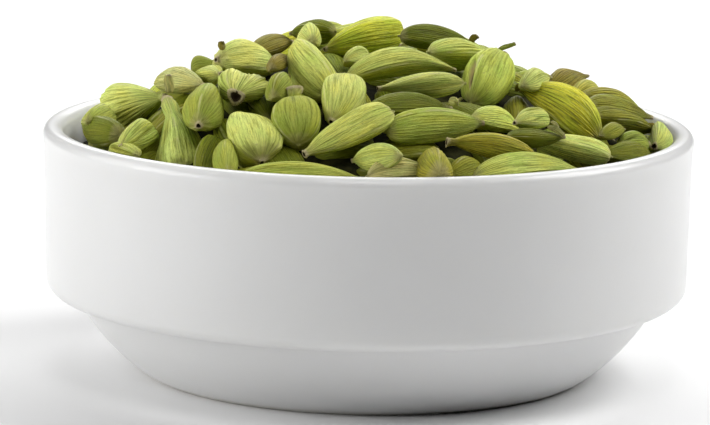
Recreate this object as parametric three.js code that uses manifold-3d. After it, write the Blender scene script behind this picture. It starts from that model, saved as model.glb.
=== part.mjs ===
// A white porcelain stacking bowl, heaped with green cardamom pods.
// Millimetres, +Z up. The origin is the middle of the foot ring, where the bowl stands,
// and the front of the bowl looks towards -Y.
import * as THREE from "three";
import { mergeVertices } from "three/addons/utils/BufferGeometryUtils.js";
import Module from "manifold-3d";

const wasm = await Module();
wasm.setup();

// ---------------------------------------------------------------- sizes of the bowl
const RIM_RADIUS = 60;
const BOWL_HEIGHT = 45.6;
const LIP_RADIUS = 1.8;
const LIP_BAND = 3.6; // the lip stands out a little from the wall, down to this depth
const LIP_BEAD = 0.25;
const SKIRT_RADIUS = 59.3; // outside of the wall just above its lower edge
const SKIRT_BOTTOM = 15; // height of the wall's lower edge
const SKIRT_ROUNDING = 2.3;
const WAIST_RADIUS = 53.8; // where the lower bowl comes out from under the wall
const WAIST_HEIGHT = 14.4;
const FOOT_RADIUS = 40.6;
const FOOT_WIDTH = 4.6;
const FOOT_DEPTH = 1.4; // recess inside the foot ring
const INNER_RADIUS = 56.2;
const INNER_TURN = 24; // height where the inner wall starts to curve in
const FLOOR_RADIUS = 38;
const FLOOR_HEIGHT = 4.8;
const SWELL = 1.6; // power of the lower bowl's curve: 1 is round, 2 is a straight cone
const ROUND_PARTS = 52;
const CORE_PARTS = 30; // the heap's core is coarser than the glaze it stays clear of

// ---------------------------------------------------------------- sizes of the heap
const GAP = 0.3; // clearance between the pods and the glaze
const MOUND_RADIUS = 56;
const MOUND_EDGE = 47; // height of the heap's pods where they meet the wall
const MOUND_RISE = 18.6; // how much higher they are in the middle
const MOUND_POWER = 1.1;
const CORE_DEPTH = 7; // the solid core lies this far under the tops of the pods
const CORE_RINGS = 6;
const HEADROOM = 90;
const WELD = 1e-4;
const PARALLEL = 1e-9;

// A pod is a spindle with three rounded sides.
const POD_SIDES = 6;
const BURIED_SIDES = 4;
const POD_RINGS = [0.12, 0.48, 0.86];
const POD_THREE_SIDEDNESS = 0.09;
const POD_TAPER = 0.62; // share of the girth that is gone at the ends
const POD_TAPER_POWER = 2.4;
const POD_LENGTHS = [13.5, 19.5];
const POD_GIRTHS = [5.6, 8.2];
const SHORTEST_POD = 8;

// The pods at the front are placed as they are seen by someone who looks along +Y and a
// little down on the bowl, from this far away, at this height on the bowl's axis.
const SIGHT_TILT = THREE.MathUtils.degToRad(10.5);
const SIGHT_DISTANCE = 750;
const SIGHT_HEIGHT = 24;
const RIM_IN_VIEW = 21.2; // the rim's centre is this far above the point looked at
const SIGHT_STEP = 0.5;
const HALVINGS = 40; // steps of the search for a pod's depth
const SEEN_BACK = 25; // sight lines are followed back to this y
const SKYLINE_BACK = 4; // those that pass over the heap end here at the latest

// Each row is one pod: across and up from the rim's centre to its nearer end, the same to
// its other end, and its girth. A last number is the true length of a pod that points
// towards or away from the front; a pod without it lies along the heap.
const LEFT_PODS = [
  [-46.5, -2.5, -52.5, -1, 5.6, 12],
  [-52, 1, -47.5, 2, 4.8, 15],
  [-47.5, 1.5, -37.5, 5, 7.4, 17],
  [-46, -3.5, -40.5, -0.5, 4.8, 12],
  [-48, -5.5, -43, -6, 3.6],
  [-32, -7, -37.5, 4.5, 7.4, 18],
  [-39.5, 8, -31, 7.5, 4.8],
  [-31.5, 0.5, -30, 5.5, 7.4, 13],
  [-26.5, 8, -31, 6.5, 4.6, 12],
  [-33, 9, -28, 11, 4.6],
  [-28.5, 5.5, -18.5, 6.5, 5.6],
  [-19.5, -6.5, -25, 2, 8.4, 15],
  [-26, -8.5, -27, -3.5, 4.8, 13],
  [-24, -9, -3, -9.5, 5.2],
];
const MIDDLE_PODS = [
  [-28.5, 12.5, -18.5, 11.5, 6.1, 13],
  [-21.5, 13.5, -14.5, 16, 4.8, 14],
  [-15, 17, -6.5, 17.5, 4.8],
  [-11, 15.5, -11.5, 17.5, 4.4, 10],
  [-8.5, 14.5, 5.5, 18, 6.5, 17],
  [-7.5, 5.5, -14, 15, 7.8, 16],
  [-7, 0.5, -3.5, 8.5, 7.6, 14],
  [-18, 5, -15, 9, 4.8, 12],
  [-19, 9.5, -15, 12, 4.8, 13],
  [-13, -3.5, -14, 5, 8.8, 13],
  [-12, -5.5, 4, 2.5, 6.3, 18],
  [6, -5.5, -3, -6.5, 4.8, 13],
  [0, -9.5, 13.5, -8.5, 5],
  [12.5, -7, 9.5, -5.5, 6.3, 14],
  [4, -0.5, 21, 1, 6.5],
  [-1, 3, 15.5, 3.5, 4.8],
  [1.5, 7, 17.5, 8.5, 5],
  [-4.5, 9.5, 16, 11.5, 5.2],
  [-4.5, 11.5, 0.5, 13, 4.6, 13],
  [5.5, 16.5, 19.5, 15.5, 4.8],
];
const RIGHT_PODS = [
  [11, 14, 23, 13, 5.9, 15],
  [19, 4.5, 25, 14, 8, 15],
  [15, -9, 21.5, -7.5, 4.8, 12],
  [20, -8.5, 39, -7.5, 5.4],
  [14.5, -2.5, 31, -5, 4.8],
  [29.5, -2, 45, -5, 4.8],
  [43, -4.5, 52.5, -5, 4.6],
  [53, -3, 55.5, -0.5, 4.8, 12],
  [46.5, -3, 52, -2.5, 4.6],
  [43, -1.5, 47.5, -0.5, 4.5, 12],
  [40, 4.5, 52.5, 2.5, 4.8],
  [41.5, 2.5, 53, 0, 4.8],
  [39.5, 6, 50, 4, 4.5],
  [38, 6, 42.5, 7.5, 4.6, 12],
  [33, 7.5, 40.5, 10, 4.8, 13],
  [28, 8.5, 34, 10, 4.8, 12],
  [28, 7.5, 42.5, -0.5, 7.1],
  [27, 1, 33, 2, 4, 10],
  [25.5, -2, 36.5, -1.5, 3.6],
  [18.5, 2.5, 27.5, -0.5, 4.8, 14],
];

// The rest of the top layer is strewn by a seeded draw, and all of it then settles.
const PLACED_SINK = 0.5; // depth of a placed pod's axis under the heap, over its girth
const SEED = 7;
const STREW_SINK = 0.42; // the same of a strewn pod
const STREW_TRIES = 3000;
const STREW_RADIUS = 53.5;
const STREW_FRONT = -12; // in front of this line of y, all pods of the top layer are placed
const STREW_CLOSENESS = 0.55; // how near two strewn pods may start, as a share of touching
const PLACED_CLOSENESS = 0.8; // the same between a strewn pod and a placed one
const STREW_TILT = 2; // how far, in all, one end may start above the other
const STREW_MARGIN = 0.46; // how far its ends stay from the wall, over its girth
const STREW_HALF = 0.465; // from its middle to each end, over its length
const SETTLE_STEPS = 60;
const SETTLE_REACH = 21;
const SETTLE_SINK = 0.02;
const SETTLE_SLACK = 0.96;
const SETTLE_LOWEST = 2.5; // a strewn pod stays this near to its level on the heap
const SETTLE_HIGHEST = 0;
const PLACED_YIELD = 0.35; // how easily a placed pod gives way, against 1 for a strewn one
const PLACED_TRAVEL = 9; // how far it may go along the line it is seen on
const PLACED_RETURN = 0.995; // and the share of the way that it keeps at each step
const WALL_REACH = 55.6;
const SETTLE_MARGIN = 0.31; // an end's distance from the wall after that, over the girth

// A second layer is strewn below the first and settles against it, which now stays put.
const BURIED_SEED = 19;
const BURIED_TRIES = 2600;
const BURIED_DEPTH = 5.6;
const BURIED_CLOSENESS = 0.62;
const BURIED_STEPS = 24;
const PROP_LENGTH = 14; // a pod that rests on nothing gets one of this size under it
const PROP_GIRTH = 6;

// ---------------------------------------------------------------- the bowl's outline
const point = (r, z) => new THREE.Vector2(r, z);

function quarterArc(centreR, centreZ, radius, fromDeg, toDeg, parts) {
  const points = [];
  for (let i = 0; i <= parts; i++) {
    const a = THREE.MathUtils.degToRad(fromDeg + ((toDeg - fromDeg) * i) / parts);
    points.push(point(centreR + radius * Math.cos(a), centreZ + radius * Math.sin(a)));
  }
  return points;
}

// A curve that leaves (outerR, topZ) and rolls flat at (innerR, bottomZ).
function swellingCurve(innerR, outerR, bottomZ, topZ, parts) {
  const points = [];
  for (let i = 0; i <= parts; i++) {
    const a = ((Math.PI / 2) * i) / parts;
    const r = innerR + (outerR - innerR) * Math.cos(a) ** SWELL;
    const z = bottomZ + (topZ - bottomZ) * (1 - Math.sin(a) ** SWELL);
    points.push(point(r, z));
  }
  return points;
}

function bowlOutline() {
  const footInner = FOOT_RADIUS - FOOT_WIDTH;
  const innerLip = INNER_RADIUS + LIP_RADIUS;
  const lipZ = BOWL_HEIGHT - LIP_RADIUS;
  const skirtZ = SKIRT_BOTTOM + SKIRT_ROUNDING;
  return [
    point(0, FOOT_DEPTH),
    point(footInner - FOOT_DEPTH, FOOT_DEPTH),
    point(footInner, 0),
    ...swellingCurve(FOOT_RADIUS, WAIST_RADIUS, 0, WAIST_HEIGHT, 6).reverse(),
    ...quarterArc(SKIRT_RADIUS - SKIRT_ROUNDING, skirtZ, SKIRT_ROUNDING, -90, 0, 3),
    point(RIM_RADIUS - LIP_BEAD, BOWL_HEIGHT - LIP_BAND),
    ...quarterArc(RIM_RADIUS - LIP_RADIUS, lipZ, LIP_RADIUS, 0, 90, 3),
    ...quarterArc(innerLip, lipZ, LIP_RADIUS, 90, 180, 3),
    ...swellingCurve(FLOOR_RADIUS, INNER_RADIUS, FLOOR_HEIGHT, INNER_TURN, 6),
    point(0, FLOOR_HEIGHT),
  ];
}

// ---------------------------------------------------------------- solids and meshes
// A lathe turns about Y and its outline runs upwards, so it is stood up about X.
function turned(outline, parts) {
  const geometry = new THREE.LatheGeometry(outline, parts);
  geometry.rotateX(Math.PI / 2);
  return geometry;
}

function toSolid(geometry) {
  const bare = geometry.clone();
  bare.deleteAttribute("normal");
  bare.deleteAttribute("uv");
  const merged = mergeVertices(bare, WELD);
  const mesh = new wasm.Mesh({
    numProp: 3,
    vertProperties: new Float32Array(merged.attributes.position.array),
    triVerts: new Uint32Array(merged.index.array),
  });
  return new wasm.Manifold(mesh);
}

function toGeometry(solid) {
  const mesh = solid.getMesh();
  const geometry = new THREE.BufferGeometry();
  geometry.setAttribute("position", new THREE.BufferAttribute(mesh.vertProperties, mesh.numProp));
  geometry.setIndex(new THREE.BufferAttribute(mesh.triVerts, 1));
  geometry.computeVertexNormals();
  return geometry;
}

// ---------------------------------------------------------------- where the pods lie
// Height of the tops of the pods at a place on the heap.
function moundHeight(x, y) {
  const share = Math.min(1, (x * x + y * y) / MOUND_RADIUS ** 2);
  return MOUND_EDGE + MOUND_RISE * (1 - share) ** MOUND_POWER;
}

const EYE = new THREE.Vector3(
  0,
  -SIGHT_DISTANCE * Math.cos(SIGHT_TILT),
  SIGHT_HEIGHT + SIGHT_DISTANCE * Math.sin(SIGHT_TILT),
);

// The direction in which a place in the front view is seen.
function sightLine(across, up) {
  const seen = up + RIM_IN_VIEW;
  const place = new THREE.Vector3(
    across,
    seen * Math.sin(SIGHT_TILT),
    SIGHT_HEIGHT + seen * Math.cos(SIGHT_TILT),
  );
  return place.sub(EYE).normalize();
}

const onLine = (line, y) => EYE.clone().addScaledVector(line, (y - EYE.y) / line.y);

// How far back (as y) a sight line meets the axis of a pod that lies on the heap.
function landing(line, sink) {
  let best = { above: Infinity, y: 0 };
  for (let y = -MOUND_RADIUS; y < SEEN_BACK; y += SIGHT_STEP) {
    const p = onLine(line, y);
    const above = p.z - (moundHeight(p.x, p.y) - sink);
    if (above < best.above) best = { above, y };
    if (above <= 0 && Math.hypot(p.x, p.y) < MOUND_RADIUS) return y;
  }
  return Math.min(best.y, SKYLINE_BACK);
}

function placedPod([x1, z1, x2, z2, girth, length]) {
  const lines = [sightLine(x1, z1), sightLine(x2, z2)];
  const sink = girth * PLACED_SINK;
  let ends;
  if (length === undefined) {
    ends = lines.map((line) => onLine(line, landing(line, sink)));
  } else {
    const middle = landing(sightLine((x1 + x2) / 2, (z1 + z2) / 2), sink);
    const spread = (depth) => [
      onLine(lines[0], middle - depth / 2),
      onLine(lines[1], middle + depth / 2),
    ];
    let low = 0;
    let high = length;
    for (let i = 0; i < HALVINGS; i++) {
      const depth = (low + high) / 2;
      const [a, b] = spread(depth);
      if (a.distanceTo(b) < length) low = depth;
      else high = depth;
    }
    ends = spread(low);
  }
  return { ends, girth, lines, starts: ends.map((end) => end.clone()) };
}

function seededDraw(seed) {
  let state = seed;
  return () => {
    state = (state * 1664525 + 1013904223) % 4294967296;
    return state / 4294967296;
  };
}

// The nearest points of two pods' axes, as shares s and t of their lengths.
function nearest(p, q) {
  const d1 = p.ends[1].clone().sub(p.ends[0]);
  const d2 = q.ends[1].clone().sub(q.ends[0]);
  const r = p.ends[0].clone().sub(q.ends[0]);
  const a = d1.dot(d1);
  const e = d2.dot(d2);
  const f = d2.dot(r);
  const c = d1.dot(r);
  const b = d1.dot(d2);
  const spread = a * e - b * b;
  const clamp = (v) => Math.min(1, Math.max(0, v));
  let s = spread > PARALLEL ? clamp((b * f - c * e) / spread) : 0.5;
  let t = (b * s + f) / e;
  if (t < 0) {
    t = 0;
    s = clamp(-c / a);
  } else if (t > 1) {
    t = 1;
    s = clamp((b - c) / a);
  }
  const apart = r.addScaledVector(d1, s).addScaledVector(d2, -t);
  return { s, t, apart, distance: apart.length() };
}

// Half a pod's thickness at a share of its length, over half its girth.
const fullness = (s) => 1 - POD_TAPER * Math.abs(2 * s - 1) ** POD_TAPER_POWER;

function room(p, q, near) {
  return (p.girth * fullness(near.s) + q.girth * fullness(near.t)) / 2;
}

// One pod thrown on the heap, this much under its surface.
function strewnPod(draw, depth) {
  const between = ([low, high]) => low + (high - low) * draw();
  const radius = STREW_RADIUS * Math.sqrt(draw());
  const around = 2 * Math.PI * draw();
  const length = between(POD_LENGTHS);
  const girth = between(POD_GIRTHS);
  const heading = 2 * Math.PI * draw();
  const tilt = STREW_TILT * (draw() - 0.5);
  const x = radius * Math.cos(around);
  const y = radius * Math.sin(around);
  const limit = WALL_REACH - girth * STREW_MARGIN - depth;
  const ends = [-1, 1].map((side) => {
    let ex = x + side * Math.cos(heading) * length * STREW_HALF;
    let ey = y + side * Math.sin(heading) * length * STREW_HALF;
    const er = Math.hypot(ex, ey);
    if (er > limit) {
      ex *= limit / er;
      ey *= limit / er;
    }
    const level = moundHeight(ex, ey) - girth * STREW_SINK - depth;
    return new THREE.Vector3(ex, ey, level + side * tilt);
  });
  return { ends, girth, length: ends[0].distanceTo(ends[1]), y, depth };
}

function fits(pod, others, closeness, placedCloseness) {
  return others.every((other) => {
    const near = nearest(pod, other);
    const share = other.lines ? placedCloseness : closeness;
    return near.distance >= room(pod, other, near) * share;
  });
}

function strewnPods(placed) {
  const draw = seededDraw(SEED);
  const pods = [...placed];
  for (let i = 0; i < STREW_TRIES; i++) {
    const pod = strewnPod(draw, 0);
    if (pod.length < SHORTEST_POD || pod.y < STREW_FRONT) continue;
    if (fits(pod, pods, STREW_CLOSENESS, PLACED_CLOSENESS)) pods.push(pod);
  }
  return pods;
}

// Two pods that press into each other move apart, each end by its share.
function part(p, q, givesP, givesQ) {
  const middleX = p.ends[0].x + p.ends[1].x - q.ends[0].x - q.ends[1].x;
  const middleY = p.ends[0].y + p.ends[1].y - q.ends[0].y - q.ends[1].y;
  if (Math.hypot(middleX, middleY) > 2 * SETTLE_REACH) return;
  const near = nearest(p, q);
  const wanted = SETTLE_SLACK * room(p, q, near);
  if (near.distance >= wanted || near.distance < WELD) return;
  const { s, t } = near;
  const shares = givesP * ((1 - s) ** 2 + s * s) + givesQ * ((1 - t) ** 2 + t * t);
  const push = near.apart.multiplyScalar((wanted - near.distance) / 2 / shares / near.distance);
  p.ends[0].addScaledVector(push, (1 - s) * givesP);
  p.ends[1].addScaledVector(push, s * givesP);
  q.ends[0].addScaledVector(push, -(1 - t) * givesQ);
  q.ends[1].addScaledVector(push, -t * givesQ);
}

// A placed pod keeps to the lines that it is seen on.
function keepInView(pod) {
  pod.ends.forEach((end, i) => {
    const way = end.clone().sub(pod.starts[i]).dot(pod.lines[i]);
    const kept = Math.max(-PLACED_TRAVEL, Math.min(PLACED_TRAVEL, way)) * PLACED_RETURN;
    end.copy(pod.starts[i]).addScaledVector(pod.lines[i], kept);
  });
}

// A strewn pod sinks a little, and keeps its length and its place in the top layer.
function sink(pod) {
  const [a, b] = pod.ends;
  a.z -= SETTLE_SINK;
  b.z -= SETTLE_SINK;
  const along = b.clone().sub(a);
  const now = along.length();
  const error = (now - pod.length) / 2 / now;
  a.addScaledVector(along, error);
  b.addScaledVector(along, -error);
}

function keepInBowl(pod) {
  const depth = pod.depth ?? 0;
  const limit = WALL_REACH - pod.girth * SETTLE_MARGIN - depth;
  for (const end of pod.ends) {
    const r = Math.hypot(end.x, end.y);
    if (r > limit) {
      end.x *= limit / r;
      end.y *= limit / r;
    }
    if (pod.lines) continue;
    const level = moundHeight(end.x, end.y) - pod.girth / 2 - depth;
    end.z = Math.max(level - SETTLE_LOWEST, Math.min(level + SETTLE_HIGHEST, end.z));
  }
}

const givesWay = (pod) => (pod.lines ? PLACED_YIELD : 1);

function settle(pods) {
  for (let step = 0; step < SETTLE_STEPS; step++) {
    for (let i = 0; i < pods.length; i++) {
      for (let j = i + 1; j < pods.length; j++) {
        part(pods[i], pods[j], givesWay(pods[i]), givesWay(pods[j]));
      }
    }
    for (const pod of pods) {
      if (pod.lines) keepInView(pod);
      else sink(pod);
      keepInBowl(pod);
    }
  }
  return pods;
}

function buriedPods(topLayer) {
  const draw = seededDraw(BURIED_SEED);
  const pods = [];
  for (let i = 0; i < BURIED_TRIES; i++) {
    const pod = strewnPod(draw, BURIED_DEPTH);
    if (pod.length < SHORTEST_POD) continue;
    if (fits(pod, [...topLayer, ...pods], BURIED_CLOSENESS, BURIED_CLOSENESS)) pods.push(pod);
  }
  for (let step = 0; step < BURIED_STEPS; step++) {
    for (let i = 0; i < pods.length; i++) {
      for (const other of topLayer) part(pods[i], other, 1, 0);
      for (let j = i + 1; j < pods.length; j++) part(pods[i], pods[j], 1, 1);
    }
    for (const pod of pods) {
      sink(pod);
      keepInBowl(pod);
    }
  }
  return pods;
}

// ---------------------------------------------------------------- one pod, and the core
function podGeometry({ ends, girth, depth }, turn) {
  const sides = depth ? BURIED_SIDES : POD_SIDES;
  // Corners reach out so far that the few-sided pod is as thick as a round one.
  const corner = Math.sqrt((2 * Math.PI) / sides / Math.sin((2 * Math.PI) / sides));
  const [a, b] = ends;
  const along = b.clone().sub(a);
  const length = along.length();
  const positions = [0, 0, 0];
  for (const share of POD_RINGS) {
    const radius = corner * (girth / 2) * fullness(share);
    for (let k = 0; k < sides; k++) {
      const angle = (2 * Math.PI * k) / sides;
      const r = radius * (1 + POD_THREE_SIDEDNESS * Math.cos(3 * angle));
      positions.push(r * Math.cos(angle), r * Math.sin(angle), length * share);
    }
  }
  positions.push(0, 0, length);
  const last = positions.length / 3 - 1;
  const at = (ring, k) => 1 + ring * sides + (k % sides);
  const index = [];
  for (let k = 0; k < sides; k++) {
    index.push(0, at(0, k + 1), at(0, k));
    for (let ring = 0; ring < POD_RINGS.length - 1; ring++) {
      index.push(at(ring, k), at(ring, k + 1), at(ring + 1, k));
      index.push(at(ring, k + 1), at(ring + 1, k + 1), at(ring + 1, k));
    }
    index.push(last, at(POD_RINGS.length - 1, k), at(POD_RINGS.length - 1, k + 1));
  }
  const geometry = new THREE.BufferGeometry();
  geometry.setAttribute("position", new THREE.Float32BufferAttribute(positions, 3));
  geometry.setIndex(index);
  const up = new THREE.Vector3(0, 0, 1);
  geometry.rotateZ(turn);
  geometry.applyQuaternion(new THREE.Quaternion().setFromUnitVectors(up, along.normalize()));
  geometry.translate(a.x, a.y, a.z);
  return geometry;
}

// The inside of the bowl, GAP clear of the glaze, up to a line of points from wall to axis.
function fillingOutline(topPoints) {
  const inner = swellingCurve(
    FLOOR_RADIUS - GAP,
    INNER_RADIUS - GAP,
    FLOOR_HEIGHT + GAP,
    INNER_TURN + GAP,
    6,
  );
  return [point(0, FLOOR_HEIGHT + GAP), ...inner.reverse(), ...topPoints];
}

function coreOutline() {
  const top = [];
  for (let i = 0; i <= CORE_RINGS; i++) {
    const r = (INNER_RADIUS - GAP) * (1 - i / CORE_RINGS);
    top.push(point(r, moundHeight(r, 0) - CORE_DEPTH));
  }
  return fillingOutline(top);
}

const clearOutline = () =>
  fillingOutline([point(INNER_RADIUS - GAP, HEADROOM), point(0, HEADROOM)]);

// A pod that stands in the heap, with its upper end in the middle of a loose piece.
function propUnder(piece) {
  const { min, max } = piece.boundingBox();
  const top = new THREE.Vector3(...min).add(new THREE.Vector3(...max)).multiplyScalar(0.5);
  const foot = new THREE.Vector3(top.x, top.y, top.z - PROP_LENGTH);
  return podGeometry({ ends: [foot, top], girth: PROP_GIRTH, depth: BURIED_DEPTH }, 0);
}

function heapSolid() {
  const placed = [...LEFT_PODS, ...MIDDLE_PODS, ...RIGHT_PODS].map(placedPod);
  const topLayer = settle(strewnPods(placed));
  const pods = [...topLayer, ...buriedPods(topLayer)];
  let heap = toSolid(turned(coreOutline(), CORE_PARTS));
  pods.forEach((pod, i) => {
    heap = heap.add(toSolid(podGeometry(pod, i)));
  });
  heap = heap.intersect(toSolid(turned(clearOutline(), CORE_PARTS)));
  const largestFirst = (p, q) => q.volume() - p.volume();
  const [rest, ...loose] = heap.decompose().sort(largestFirst);
  heap = rest;
  for (const piece of loose) heap = heap.add(piece).add(toSolid(propUnder(piece)));
  return heap.decompose().sort(largestFirst)[0];
}

// ---------------------------------------------------------------- the object
const glaze = new THREE.MeshStandardMaterial({ color: 0xececea, roughness: 0.15, metalness: 0 });
const husk = new THREE.MeshStandardMaterial({ color: 0xa0a850, roughness: 0.75, metalness: 0 });

const bowl = new THREE.Mesh(turned(bowlOutline(), ROUND_PARTS), glaze);
bowl.name = "bowl";

const pods = new THREE.Mesh(toGeometry(heapSolid()), husk);
pods.name = "cardamom_pods";

const dish = new THREE.Group();
dish.add(bowl, pods);

export default dish;
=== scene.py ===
# %% [markdown]
# # A bowl of green cardamom pods
#
# The real thing is a white porcelain stacking bowl, heaped above its rim with dried green
# cardamom. The solids come from the frame: the bowl, and one solid for the whole heap. Here
# the bowl gets its smooth glaze, and the heap is taken apart again into single pods that lie
# where the solid has them, or near it.

# %% Load the frame
import math

import bmesh
import bpy
import numpy as np
from mathutils import Matrix, Vector


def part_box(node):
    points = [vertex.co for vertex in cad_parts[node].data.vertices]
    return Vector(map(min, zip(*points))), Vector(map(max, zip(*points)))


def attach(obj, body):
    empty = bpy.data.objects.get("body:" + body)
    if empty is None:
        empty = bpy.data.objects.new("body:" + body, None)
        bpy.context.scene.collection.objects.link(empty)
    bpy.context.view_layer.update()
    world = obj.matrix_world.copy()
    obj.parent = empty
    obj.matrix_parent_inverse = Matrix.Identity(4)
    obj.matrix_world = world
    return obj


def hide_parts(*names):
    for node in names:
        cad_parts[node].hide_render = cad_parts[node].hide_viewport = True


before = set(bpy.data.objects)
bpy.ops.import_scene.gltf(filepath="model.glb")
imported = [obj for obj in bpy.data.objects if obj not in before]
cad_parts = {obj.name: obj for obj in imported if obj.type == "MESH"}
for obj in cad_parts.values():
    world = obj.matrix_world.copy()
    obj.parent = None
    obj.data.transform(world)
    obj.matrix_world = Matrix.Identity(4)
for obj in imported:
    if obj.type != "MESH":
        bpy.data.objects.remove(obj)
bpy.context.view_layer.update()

MM = 0.001
BOWL_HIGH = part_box("bowl")[1]
RIM_RADIUS = BOWL_HIGH[0] / MM
RIM_HEIGHT = BOWL_HIGH[2] / MM
print("bowl:", round(2 * RIM_RADIUS, 1), "mm across,", round(RIM_HEIGHT, 1), "mm high")

# %% [markdown]
# ## Small helpers
#
# An operator acts on everything that is selected, so each piece starts from an empty
# selection. In edit mode, vertices are picked by their numbers, which a rule works out from
# their places.

# %% Selecting
def select_nothing():
    if bpy.context.object and bpy.context.object.mode != "OBJECT":
        bpy.ops.object.mode_set(mode="OBJECT")
    bpy.ops.object.select_all(action="DESELECT")


def pick(piece, numbers):
    """In edit mode, selects just the vertices with these numbers."""
    bpy.ops.mesh.select_all(action="DESELECT")
    mesh = bmesh.from_edit_mesh(piece.data)
    mesh.verts.ensure_lookup_table()
    for number in numbers:
        mesh.verts[number].select = True
    mesh.select_flush(True)
    bmesh.update_edit_mesh(piece.data)


def places(piece):
    """The places of a mesh's vertices, one row each."""
    flat = np.empty(len(piece.data.vertices) * 3)
    piece.data.vertices.foreach_get("co", flat)
    return flat.reshape(-1, 3)


# %% [markdown]
# ## The bowl
#
# A turned shape can be spun from a drawn outline, or grown ring by ring. It is grown here: a
# circle the size of the foot is extruded again and again, and each new ring is moved and
# scaled to the next point of the outline. The outline is the one that the solid was turned
# from, with finer arcs, so that the glaze looks round from any side.

# %% Outline of the bowl, in millimetres
LIP = 1.8
LIP_BAND = 3.6
LIP_BEAD = 0.25
SKIRT_RADIUS = 59.3
SKIRT_BOTTOM = 15.0
SKIRT_ROUNDING = 2.3
WAIST_RADIUS = 53.8
WAIST_HEIGHT = 14.4
FOOT_RADIUS = 40.6
FOOT_WIDTH = 4.6
FOOT_DEPTH = 1.4
INNER_RADIUS = 56.2
INNER_TURN = 24.0
FLOOR_RADIUS = 38.0
FLOOR_HEIGHT = 4.8
SWELL = 1.6
ARC_PARTS = 7
CURVE_PARTS = 14
WALL_PARTS = 5


def arc(centre_r, centre_z, radius, start, end):
    steps = [math.radians(start + (end - start) * i / ARC_PARTS) for i in range(ARC_PARTS + 1)]
    return [(centre_r + radius * math.cos(a), centre_z + radius * math.sin(a)) for a in steps]


def swelling_curve(inner_r, outer_r, bottom, top):
    points = []
    for i in range(CURVE_PARTS + 1):
        a = math.pi / 2 * i / CURVE_PARTS
        r = inner_r + (outer_r - inner_r) * math.cos(a) ** SWELL
        points.append((r, bottom + (top - bottom) * (1 - math.sin(a) ** SWELL)))
    return points


def between(start, end, parts):
    """The points that cut a straight stretch of the outline into parts."""
    shares = [i / parts for i in range(1, parts)]
    return [tuple(p + (q - p) * share for p, q in zip(start, end)) for share in shares]


def lining_curve():
    return swelling_curve(FLOOR_RADIUS, INNER_RADIUS, FLOOR_HEIGHT, INNER_TURN)


def bowl_outline():
    foot_inner = FOOT_RADIUS - FOOT_WIDTH
    foot = [(foot_inner - FOOT_DEPTH, FOOT_DEPTH), (foot_inner, 0.0)]
    lower = swelling_curve(FOOT_RADIUS, WAIST_RADIUS, 0, WAIST_HEIGHT)[::-1]
    skirt_z = SKIRT_BOTTOM + SKIRT_ROUNDING
    skirt = arc(SKIRT_RADIUS - SKIRT_ROUNDING, skirt_z, SKIRT_ROUNDING, -90, 0)
    ledge = between(lower[-1], skirt[0], WALL_PARTS)
    band = (RIM_RADIUS - LIP_BEAD, RIM_HEIGHT - LIP_BAND)
    wall = between(skirt[-1], band, WALL_PARTS) + [band]
    lip = arc(RIM_RADIUS - LIP, RIM_HEIGHT - LIP, LIP, 0, 90)
    lip += arc(INNER_RADIUS + LIP, RIM_HEIGHT - LIP, LIP, 90, 180)
    inner = lining_curve()
    lining = between(lip[-1], inner[0], WALL_PARTS) + inner
    lining += between(inner[-1], (0, FLOOR_HEIGHT), WALL_PARTS)
    return foot + lower + ledge + skirt + wall + lip + lining


# %% Growing a turned shape ring by ring
BOWL_SIDES = 144
DOUBLES = 1e-7


def grow(name, outline, sides, unit):
    """A closed turned shape; the outline's first and last points are capped."""
    select_nothing()
    r, z = outline[0]
    bpy.ops.mesh.primitive_circle_add(
        vertices=sides, radius=r * unit, fill_type="TRIFAN", location=(0, 0, z * unit)
    )
    piece = bpy.context.object
    piece.name = name
    bpy.ops.object.transform_apply(location=True, rotation=True, scale=True)
    bpy.ops.object.mode_set(mode="EDIT")
    bpy.ops.mesh.select_all(action="SELECT")
    bpy.ops.mesh.region_to_loop()
    for next_r, next_z in outline[1:]:
        rise = {"value": (0, 0, (next_z - z) * unit)}
        bpy.ops.mesh.extrude_edges_move(TRANSFORM_OT_translate=rise)
        wider = next_r / r
        centre = (0, 0, next_z * unit)
        bpy.ops.transform.resize(value=(wider, wider, 1), center_override=centre)
        r, z = next_r, next_z
    bpy.ops.mesh.edge_face_add()
    bpy.ops.mesh.poke()
    bpy.ops.mesh.select_all(action="SELECT")
    bpy.ops.mesh.remove_doubles(threshold=DOUBLES)
    bpy.ops.mesh.normals_make_consistent(inside=False)
    bpy.ops.object.mode_set(mode="OBJECT")
    bpy.ops.object.shade_smooth()
    return piece


bowl = grow("porcelain_bowl", bowl_outline(), BOWL_SIDES, MM)
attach(bowl, "root")
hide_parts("bowl")
print("bowl:", len(bowl.data.polygons), "faces")

# %% [markdown]
# ## Where the pods lie
#
# Pods could be poured in by a rigid body simulation, but the front of this heap has to look
# like one particular heap. So the pods that show at the front are placed along the lines on
# which they are seen, the others are strewn by a seeded draw, and then all of them push each
# other apart for a while. This is the rule that placed the pods of the solid, step by step.

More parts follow.
